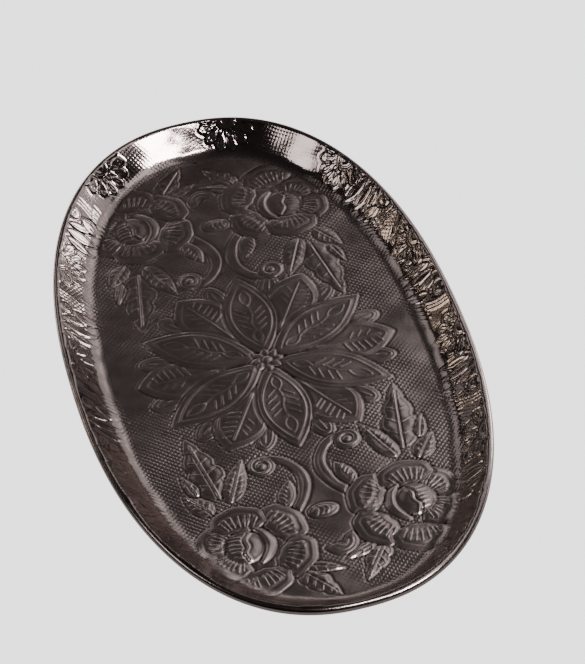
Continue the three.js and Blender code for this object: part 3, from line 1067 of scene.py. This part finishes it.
def build_pan():
    """The pressed sheet, with its hollows, which set its painted shade, and its polish as values of its
    points.
    """
    reach, turn = disc_grid(ACROSS_STEPS, ALONG_STEPS)
    edge_x, edge_y = base_edge(turn)
    base_x, base_y = reach * edge_x, reach * edge_y
    border_turn = border_of(turn)
    wall = [base_edge(border_turn, slant) for slant in RING_SLANTS]
    wall_x = np.array([x for x, _ in wall])
    wall_y = np.array([y for _, y in wall])
    near = near_share(border_of(base_y))
    base_rise, wall_rise = press_relief(base_x, base_y, wall_x, wall_y, near)

    points = Points()
    base_index = points.add_grid(base_x, base_y, SHEET + base_rise)
    top = [border_of(base_index)]
    top += [points.add(ring) for ring in top_rings(border_turn, wall_rise)]
    top_total = points.total
    under = [points.add(ring) for ring in under_rings(border_turn[::COARSE])]
    coarse = (slice(None, None, COARSE), slice(None, None, COARSE))
    low_rise = np.maximum(blurred(base_rise, UNDER_BLUR, False)[coarse] - UNDER_DROP, 0)
    low_index = points.add_grid(base_x[coarse], base_y[coarse], low_rise)
    under.append(border_of(low_index))
    quads = [grid_faces(base_index), *bands_between(top), *bands_between(under)]
    quads.append(grid_faces(low_index)[:, ::-1])
    faces = np.vstack(quads).tolist() + stitch_faces(top[-1], under[0])
    pan = new_object("tray_pan_pressed", (np.vstack(points.lots) * MM).tolist(), faces)

    # The hollows set painted shade and the crests a painted highlight, with the painted shade of the rim
    # and the worn wall added
    wall_hollow = hollows(wall_rise, True) + wall_painted_shade(wall_x, wall_y)
    hollow = np.zeros(points.total, np.float32)
    hollow[:top_total] = np.concatenate([hollows(base_rise, False).ravel(), wall_hollow.ravel()])
    shine = smooth(RING_SLANTS[:, None] / (COVE_LENGTH + NEAR_BLEND * near))
    shine[WALL_RINGS:] *= CURL_POLISH
    polish = np.ones(points.total, np.float32)
    polish[:top_total] = np.concatenate([np.zeros(base_x.size), shine.ravel()])
    for name, values in (("hollow", hollow), ("polish", polish)):
        pan.data.attributes.new(name, "FLOAT", "POINT").data.foreach_set("value", values)
    pan.data.update()
    return pan


# Materials

# The pan's metal: its shades with their stops, from a painted highlight on the crests to painted shade in
# the hollows, and the depths of the hollows at the first and the last stop
METAL_SHADES = (
    (0.0, (0.64, 0.53, 0.505, 1)),
    (0.38, (0.54, 0.432, 0.41, 1)),
    (0.88, (0.25, 0.197, 0.184, 1)),
    (1.0, (0.06, 0.048, 0.045, 1)),
)
CREST_DEPTH = -0.09
HOLLOW_DEPTH = 0.15
GLANCING_TINT = (0.66, 0.66, 0.66, 1)
SATIN_ROUGHNESS = 0.28
POLISHED_ROUGHNESS = 0.11

# Patches of uneven tone, as a change of the hollows' depth and so of their painted shade, and the fine
# grain, in metres
PATCH_NOISE = {"Scale": 150, "Detail": 6, "Roughness": 0.65}
PATCH_RANGE = {"From Min": 0.3, "From Max": 0.7, "To Min": -0.035, "To Max": 0.035}
GRAIN_NOISE = {"Scale": 700, "Detail": 3}
GRAIN_BUMP = {"Strength": 0.25, "Distance": 0.0002}

# The wire's drawn steel
STEEL_SHADE = (0.35, 0.35, 0.36, 1)
STEEL_NOISE = {"Scale": 900}
STEEL_ROUGHNESS = {"To Min": 0.3, "To Max": 0.5}


def set_inputs(node, values):
    for name, value in values.items():
        node.inputs[name].default_value = value


def new_material(name, values):
    """A material, with values for its shader's inputs."""
    material = bpy.data.materials.new(name)
    material.use_nodes = True
    tree = material.node_tree
    shader = tree.nodes["Principled BSDF"]
    set_inputs(shader, values)
    return material, tree, shader


def add_node(tree, kind, values=None, **settings):
    node = tree.nodes.new(kind)
    for key, value in settings.items():
        setattr(node, key, value)
    set_inputs(node, values or {})
    return node


def pan_metal():
    material, tree, shader = new_material("dark nickel", {"Metallic": 1, "Specular Tint": GLANCING_TINT})
    link = tree.links.new
    spot = add_node(tree, "ShaderNodeTexCoord")

    # Painted shade by the depth of the hollows and a painted highlight on the crests, with patches
    hollow = add_node(tree, "ShaderNodeAttribute", attribute_name="hollow")
    patches = add_node(tree, "ShaderNodeTexNoise", PATCH_NOISE)
    patchy = add_node(tree, "ShaderNodeMapRange", PATCH_RANGE)
    depth = add_node(tree, "ShaderNodeMath", operation="ADD")
    painted_shade_range = {"From Min": CREST_DEPTH, "From Max": HOLLOW_DEPTH}
    painted_shade = add_node(tree, "ShaderNodeMapRange", painted_shade_range, clamp=True)
    shade = add_node(tree, "ShaderNodeValToRGB")
    shade.color_ramp.elements[0].color = METAL_SHADES[0][1]
    shade.color_ramp.elements[1].color = METAL_SHADES[-1][1]
    for stop, colour in METAL_SHADES[1:-1]:
        shade.color_ramp.elements.new(stop).color = colour
    link(spot.outputs["Object"], patches.inputs["Vector"])
    link(patches.outputs["Fac"], patchy.inputs["Value"])
    link(hollow.outputs["Fac"], depth.inputs[0])
    link(patchy.outputs["Result"], depth.inputs[1])
    link(depth.outputs["Value"], painted_shade.inputs["Value"])
    link(painted_shade.outputs["Result"], shade.inputs["Fac"])
    link(shade.outputs["Color"], shader.inputs["Base Color"])

    # Grain
    grain = add_node(tree, "ShaderNodeTexNoise", GRAIN_NOISE)
    pitted = add_node(tree, "ShaderNodeBump", GRAIN_BUMP)
    link(spot.outputs["Object"], grain.inputs["Vector"])
    link(grain.outputs["Fac"], pitted.inputs["Height"])
    link(pitted.outputs["Normal"], shader.inputs["Normal"])

    # A satin base and a polished wall
    polish = add_node(tree, "ShaderNodeAttribute", attribute_name="polish")
    rough_range = {"To Min": SATIN_ROUGHNESS, "To Max": POLISHED_ROUGHNESS}
    rough = add_node(tree, "ShaderNodeMapRange", rough_range, clamp=True)
    link(polish.outputs["Fac"], rough.inputs["Value"])
    link(rough.outputs["Result"], shader.inputs["Roughness"])
    return material


def wire_metal():
    material, tree, shader = new_material("drawn steel", {"Metallic": 1, "Base Color": STEEL_SHADE})
    noise = add_node(tree, "ShaderNodeTexNoise", STEEL_NOISE)
    rough = add_node(tree, "ShaderNodeMapRange", STEEL_ROUGHNESS)
    tree.links.new(noise.outputs["Fac"], rough.inputs["Value"])
    tree.links.new(rough.outputs["Result"], shader.inputs["Roughness"])
    return material


pan = build_pan()
pan.data.materials.append(pan_metal())
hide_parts("tray_pan")
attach(pan, "root")

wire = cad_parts["rim_wire"]
wire.data.materials.clear()
wire.data.materials.append(wire_metal())

# The floor, which curves up at its edge and glows, less so towards the edge
FLOOR_RADIUS = 5.0
FLOOR_SIDES = 96
SWEEP_RADIUS = 0.8
SWEEP_STEPS = 8
PAPER = {"Base Color": (0.9, 0.9, 0.9, 1), "Roughness": 0.9, "Emission Color": (1, 1, 1, 1)}
GLOW_RANGE = {"From Min": 2.0, "From Max": FLOOR_RADIUS, "To Min": 2.4, "To Max": 0.04}


def paper():
    material, tree, shader = new_material("white paper", PAPER)
    spot = add_node(tree, "ShaderNodeNewGeometry")
    reach = add_node(tree, "ShaderNodeVectorMath", operation="LENGTH")
    glow = add_node(tree, "ShaderNodeMapRange", GLOW_RANGE, interpolation_type="SMOOTHSTEP")
    tree.links.new(spot.outputs["Position"], reach.inputs[0])
    tree.links.new(reach.outputs["Value"], glow.inputs["Value"])
    tree.links.new(glow.outputs["Result"], shader.inputs["Emission Strength"])
    return material


def floor_ring(step):
    """A ring of the floor's edge, as it curves up."""
    bend = math.pi / 2 * step / SWEEP_STEPS
    away = FLOOR_RADIUS + SWEEP_RADIUS * math.sin(bend)
    height = SWEEP_RADIUS * (1 - math.cos(bend))
    return [(away * math.cos(turn), away * math.sin(turn), height) for turn in turns(FLOOR_SIDES)]


def build_floor():
    points = Points()
    rings = [points.add(floor_ring(step)) for step in range(SWEEP_STEPS + 1)]
    faces = [rings[0].tolist()]
    faces += np.vstack(bands_between(rings[::-1])).tolist()
    return new_object("floor", np.vstack(points.lots).tolist(), faces)


floor = build_floor()
floor.data.materials.append(paper())

# Light: a faint glow all round, and soft lights that face the tray, each with its turn and rise in
# degrees, its distance, width and depth, its power and its colour
WORLD_COLOUR = (0.95, 0.88, 0.88, 1)
WORLD_STRENGTH = 0.016
WHITE = (1, 1, 1)
LIGHTS = (
    ("window", -43, 52, 1.6, 0.56, 0.48, 20, WHITE),
    ("low window", -43, 27, 1.6, 0.56, 0.62, 0.15, WHITE),
    ("skylight", -72, 66, 1.6, 0.34, 0.17, 4.5, WHITE),
    ("high card", 16, 61, 1.6, 0.9, 0.5, 1.5, WHITE),
    ("right card", 40, 26, 1.5, 1.2, 0.82, 1.55, WHITE),
    ("low card", 28, 13, 1.5, 0.4, 0.32, 2.5, WHITE),
    ("left card", 168, 37, 1.4, 0.5, 0.4, 1.45, WHITE),
    ("back card", 86, 16, 1.8, 1.1, 0.3, 0.85, WHITE),
    ("side card", 52, 41, 1.6, 0.8, 0.6, 0.6, WHITE),
    ("rear card", 112, 34, 1.6, 0.6, 0.5, 0.38, WHITE),
    ("warm card", 138, 17, 1.5, 0.5, 0.36, 0.11, (1, 0.88, 0.7)),
    ("warm lamp", 137, 17, 1.5, 0.18, 0.14, 0.2, (1, 0.9, 0.75)),
)


def way_out(turn, rise):
    """The way from the tray at a turn and a rise in degrees."""
    turn, rise = math.radians(turn), math.radians(rise)
    return Vector((math.cos(rise) * math.cos(turn), math.cos(rise) * math.sin(turn), math.sin(rise)))


def softbox(name, turn, rise, distance, width, depth, power, colour):
    data = bpy.data.lights.new(name, "AREA")
    data.shape = "RECTANGLE"
    data.size = width
    data.size_y = depth
    data.energy = power
    data.color = colour
    lamp = bpy.data.objects.new(name, data)
    way = way_out(turn, rise)
    lamp.location = distance * way
    lamp.rotation_euler = (-way).to_track_quat("-Z", "Y").to_euler()
    bpy.context.scene.collection.objects.link(lamp)


world = bpy.data.worlds.new("studio")
bpy.context.scene.world = world
world.use_nodes = True
set_inputs(world.node_tree.nodes["Background"], {"Color": WORLD_COLOUR, "Strength": WORLD_STRENGTH})
for light in LIGHTS:
    softbox(*light)

# The camera, with its turn and rise as those of the lights. Its focal length is in the photo's pixels.
CAMERA_TURN = -100.7
CAMERA_RISE = 42.22
CAMERA_ROLL = math.radians(-5.65)
CAMERA_DISTANCE = 1696.3
CAMERA_AIM = Vector((20.1, 18.25, SHEET))
PHOTO_HEIGHT = 664
FOCAL_PIXELS = 2900
SENSOR_SIZE = 36
CAMERA_REACH = 50


def build_camera():
    back = way_out(CAMERA_TURN, CAMERA_RISE)
    level = Vector((0, 0, 1)).cross(back).normalized()
    upright = back.cross(level)
    right = math.cos(CAMERA_ROLL) * level + math.sin(CAMERA_ROLL) * upright
    up = math.cos(CAMERA_ROLL) * upright - math.sin(CAMERA_ROLL) * level
    data = bpy.data.cameras.new("camera")
    data.sensor_width = SENSOR_SIZE
    data.lens = SENSOR_SIZE * FOCAL_PIXELS / PHOTO_HEIGHT
    data.clip_end = CAMERA_REACH
    camera = bpy.data.objects.new("camera", data)
    pose = Matrix((right, up, back)).transposed().to_4x4()
    pose.translation = (back * CAMERA_DISTANCE + CAMERA_AIM) * MM
    camera.matrix_world = pose
    bpy.context.scene.collection.objects.link(camera)
    return camera


bpy.context.scene.camera = build_camera()
